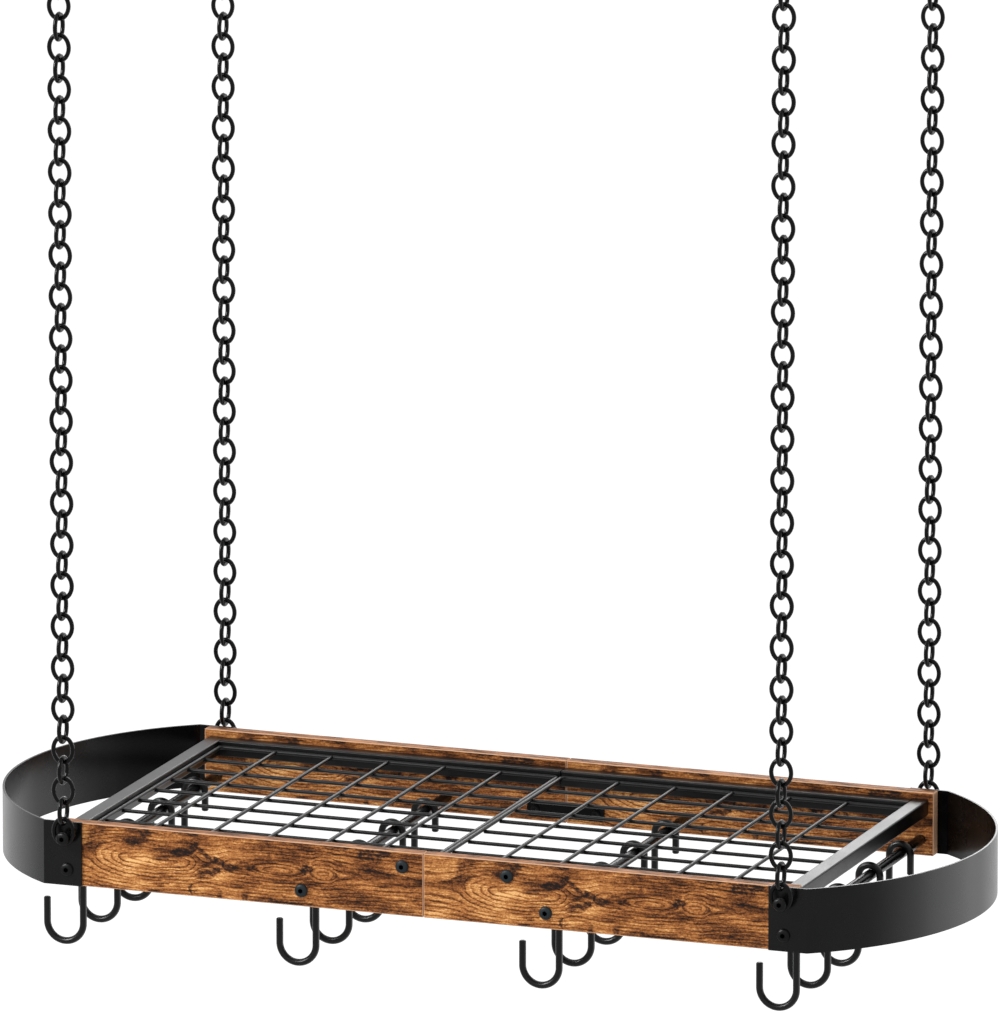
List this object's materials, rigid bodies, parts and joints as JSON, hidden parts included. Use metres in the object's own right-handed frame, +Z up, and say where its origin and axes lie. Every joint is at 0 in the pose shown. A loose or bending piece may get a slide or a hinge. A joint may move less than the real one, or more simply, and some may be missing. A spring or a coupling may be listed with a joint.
{
  "type": "hanging pot rack",
  "caption": "Oblong ceiling-hung pot rack: board sides, round steel ends, wire shelves, cross bars with sliding S-hooks, and chains to ceiling hooks.",
  "frame": {"origin": "middle of the four ceiling hooks, on the ceiling plane", "axes": "+X along the boards to the right, +Y from the front side to the rear side, +Z up into the ceiling"},
  "size_m": [0.942, 0.4374, 1.0475],
  "materials": {
    "board_wood": "rustic dark stain over open grain, matte",
    "black_band_steel": "black powder coat, semi-matte",
    "black_shelf_steel": "black powder coat, semi-matte",
    "black_bar_steel": "black powder coat, semi-matte",
    "black_hook_steel": "black coat on bent wire, satin",
    "black_chain_steel": "black coat on welded links, satin",
    "black_screw_steel": "black oxide, satin",
    "zinc_nut_steel": "zinc plated"
  },
  "bodies": {
    "ceiling_hooks": {"front_left_ceiling_hook": "black_hook_steel", "front_right_ceiling_hook": "black_hook_steel", "rear_left_ceiling_hook": "black_hook_steel", "rear_right_ceiling_hook": "black_hook_steel"},
    "front_left_top_link": {"front_left_top_link": "black_chain_steel"},
    "front_left_chain": {"front_left_chain": "black_chain_steel"},
    "front_left_low_link": {"front_left_low_link": "black_chain_steel"},
    "front_right_top_link": {"front_right_top_link": "black_chain_steel"},
    "front_right_chain": {"front_right_chain": "black_chain_steel"},
    "front_right_low_link": {"front_right_low_link": "black_chain_steel"},
    "rear_left_top_link": {"rear_left_top_link": "black_chain_steel"},
    "rear_left_chain": {"rear_left_chain": "black_chain_steel"},
    "rear_left_low_link": {"rear_left_low_link": "black_chain_steel"},
    "rear_right_top_link": {"rear_right_top_link": "black_chain_steel"},
    "rear_right_chain": {"rear_right_chain": "black_chain_steel"},
    "rear_right_low_link": {"rear_right_low_link": "black_chain_steel"},
    "rack": {"front_left_board": "board_wood", "front_right_board": "board_wood", "rear_left_board": "board_wood", "rear_right_board": "board_wood", "left_end_band": "black_band_steel", "right_end_band": "black_band_steel", "left_panel_frame": "black_shelf_steel", "right_panel_frame": "black_shelf_steel", "left_wire_grid": "black_shelf_steel", "right_wire_grid": "black_shelf_steel", "left_end_bar": "black_bar_steel", "left_middle_bar": "black_bar_steel", "right_middle_bar": "black_bar_steel", "right_end_bar": "black_bar_steel", "front_splice_plate": "black_band_steel", "rear_splice_plate": "black_band_steel", "chain_screws": "black_screw_steel", "bar_screws": "black_screw_steel", "shelf_screws": "black_screw_steel", "splice_screws": "black_screw_steel", "rivet_nuts": "zinc_nut_steel"},
    "left_end_hook_1": {"left_end_hook_1": "black_hook_steel"},
    "left_end_hook_2": {"left_end_hook_2": "black_hook_steel"},
    "left_end_hook_3": {"left_end_hook_3": "black_hook_steel"},
    "left_end_hook_4": {"left_end_hook_4": "black_hook_steel"},
    "left_middle_hook_1": {"left_middle_hook_1": "black_hook_steel"},
    "left_middle_hook_2": {"left_middle_hook_2": "black_hook_steel"},
    "left_middle_hook_3": {"left_middle_hook_3": "black_hook_steel"},
    "left_middle_hook_4": {"left_middle_hook_4": "black_hook_steel"},
    "right_middle_hook_1": {"right_middle_hook_1": "black_hook_steel"},
    "right_middle_hook_2": {"right_middle_hook_2": "black_hook_steel"},
    "right_middle_hook_3": {"right_middle_hook_3": "black_hook_steel"},
    "right_middle_hook_4": {"right_middle_hook_4": "black_hook_steel"},
    "right_end_hook_1": {"right_end_hook_1": "black_hook_steel"},
    "right_end_hook_2": {"right_end_hook_2": "black_hook_steel"},
    "right_end_hook_3": {"right_end_hook_3": "black_hook_steel"},
    "right_end_hook_4": {"right_end_hook_4": "black_hook_steel"}
  },
  "joints": [
    {"name": "side_sway", "type": "hinge", "parent": "ceiling_hooks", "child": "front_left_top_link", "pos_m": [-0.3475, -0.20373, -0.0385], "axis": [0, 1, 0], "range_deg": [-10, 10]},
    {"name": "fore_sway", "type": "hinge", "parent": "front_left_top_link", "child": "front_left_chain", "pos_m": [-0.3475, -0.20373, -0.0574], "axis": [1, 0, 0], "range_deg": [-8, 8]},
    {"name": "front_left_link_level", "type": "hinge", "parent": "front_left_chain", "child": "front_left_low_link", "pos_m": [-0.3475, -0.20373, -0.8786], "axis": [1, 0, 0], "range_deg": [-8, 8]},
    {"name": "front_right_side_swing", "type": "hinge", "parent": "ceiling_hooks", "child": "front_right_top_link", "pos_m": [0.3475, -0.20373, -0.0385], "axis": [0, 1, 0], "range_deg": [-10, 10]},
    {"name": "front_right_fore_swing", "type": "hinge", "parent": "front_right_top_link", "child": "front_right_chain", "pos_m": [0.3475, -0.20373, -0.0574], "axis": [1, 0, 0], "range_deg": [-8, 8]},
    {"name": "front_right_link_level", "type": "hinge", "parent": "front_right_chain", "child": "front_right_low_link", "pos_m": [0.3475, -0.20373, -0.8786], "axis": [1, 0, 0], "range_deg": [-8, 8]},
    {"name": "rear_left_side_swing", "type": "hinge", "parent": "ceiling_hooks", "child": "rear_left_top_link", "pos_m": [-0.3475, 0.20373, -0.0385], "axis": [0, 1, 0], "range_deg": [-10, 10]},
    {"name": "rear_left_fore_swing", "type": "hinge", "parent": "rear_left_top_link", "child": "rear_left_chain", "pos_m": [-0.3475, 0.20373, -0.0574], "axis": [1, 0, 0], "range_deg": [-8, 8]},
    {"name": "rear_left_link_level", "type": "hinge", "parent": "rear_left_chain", "child": "rear_left_low_link", "pos_m": [-0.3475, 0.20373, -0.8786], "axis": [1, 0, 0], "range_deg": [-8, 8]},
    {"name": "rear_right_side_swing", "type": "hinge", "parent": "ceiling_hooks", "child": "rear_right_top_link", "pos_m": [0.3475, 0.20373, -0.0385], "axis": [0, 1, 0], "range_deg": [-10, 10]},
    {"name": "rear_right_fore_swing", "type": "hinge", "parent": "rear_right_top_link", "child": "rear_right_chain", "pos_m": [0.3475, 0.20373, -0.0574], "axis": [1, 0, 0], "range_deg": [-8, 8]},
    {"name": "rear_right_link_level", "type": "hinge", "parent": "rear_right_chain", "child": "rear_right_low_link", "pos_m": [0.3475, 0.20373, -0.8786], "axis": [1, 0, 0], "range_deg": [-8, 8]},
    {"name": "rack_side_level", "type": "hinge", "parent": "front_left_low_link", "child": "rack", "pos_m": [-0.3475, -0.20373, -0.897], "axis": [0, 1, 0], "range_deg": [-10, 10]},
    {"name": "left_end_hook_1_slide", "type": "slide", "parent": "rack", "child": "left_end_hook_1", "axis": [0, 1, 0], "range_m": [-0.035, 0.035]},
    {"name": "left_end_hook_2_slide", "type": "slide", "parent": "rack", "child": "left_end_hook_2", "axis": [0, 1, 0], "range_m": [-0.035, 0.035]},
    {"name": "left_end_hook_3_slide", "type": "slide", "parent": "rack", "child": "left_end_hook_3", "axis": [0, 1, 0], "range_m": [-0.035, 0.035]},
    {"name": "left_end_hook_4_slide", "type": "slide", "parent": "rack", "child": "left_end_hook_4", "axis": [0, 1, 0], "range_m": [-0.035, 0.035]},
    {"name": "left_middle_hook_1_slide", "type": "slide", "parent": "rack", "child": "left_middle_hook_1", "axis": [0, 1, 0], "range_m": [-0.035, 0.035]},
    {"name": "left_middle_hook_2_slide", "type": "slide", "parent": "rack", "child": "left_middle_hook_2", "axis": [0, 1, 0], "range_m": [-0.035, 0.035]},
    {"name": "left_middle_hook_3_slide", "type": "slide", "parent": "rack", "child": "left_middle_hook_3", "axis": [0, 1, 0], "range_m": [-0.035, 0.035]},
    {"name": "left_middle_hook_4_slide", "type": "slide", "parent": "rack", "child": "left_middle_hook_4", "axis": [0, 1, 0], "range_m": [-0.035, 0.035]},
    {"name": "right_middle_hook_1_slide", "type": "slide", "parent": "rack", "child": "right_middle_hook_1", "axis": [0, 1, 0], "range_m": [-0.035, 0.035]},
    {"name": "right_middle_hook_2_slide", "type": "slide", "parent": "rack", "child": "right_middle_hook_2", "axis": [0, 1, 0], "range_m": [-0.035, 0.035]},
    {"name": "right_middle_hook_3_slide", "type": "slide", "parent": "rack", "child": "right_middle_hook_3", "axis": [0, 1, 0], "range_m": [-0.035, 0.035]},
    {"name": "right_middle_hook_4_slide", "type": "slide", "parent": "rack", "child": "right_middle_hook_4", "axis": [0, 1, 0], "range_m": [-0.035, 0.035]},
    {"name": "right_end_hook_1_slide", "type": "slide", "parent": "rack", "child": "right_end_hook_1", "axis": [0, 1, 0], "range_m": [-0.035, 0.035]},
    {"name": "right_end_hook_2_slide", "type": "slide", "parent": "rack", "child": "right_end_hook_2", "axis": [0, 1, 0], "range_m": [-0.035, 0.035]},
    {"name": "right_end_hook_3_slide", "type": "slide", "parent": "rack", "child": "right_end_hook_3", "axis": [0, 1, 0], "range_m": [-0.035, 0.035]},
    {"name": "right_end_hook_4_slide", "type": "slide", "parent": "rack", "child": "right_end_hook_4", "axis": [0, 1, 0], "range_m": [-0.035, 0.035]}
  ],
  "couplings": [
    {"joint": "front_left_link_level", "follows": "fore_sway", "ratio": -1},
    {"joint": "front_right_side_swing", "follows": "side_sway", "ratio": 1},
    {"joint": "front_right_fore_swing", "follows": "fore_sway", "ratio": 1},
    {"joint": "front_right_link_level", "follows": "fore_sway", "ratio": -1},
    {"joint": "rear_left_side_swing", "follows": "side_sway", "ratio": 1},
    {"joint": "rear_left_fore_swing", "follows": "fore_sway", "ratio": 1},
    {"joint": "rear_left_link_level", "follows": "fore_sway", "ratio": -1},
    {"joint": "rear_right_side_swing", "follows": "side_sway", "ratio": 1},
    {"joint": "rear_right_fore_swing", "follows": "fore_sway", "ratio": 1},
    {"joint": "rear_right_link_level", "follows": "fore_sway", "ratio": -1},
    {"joint": "rack_side_level", "follows": "side_sway", "ratio": -1}
  ]
}
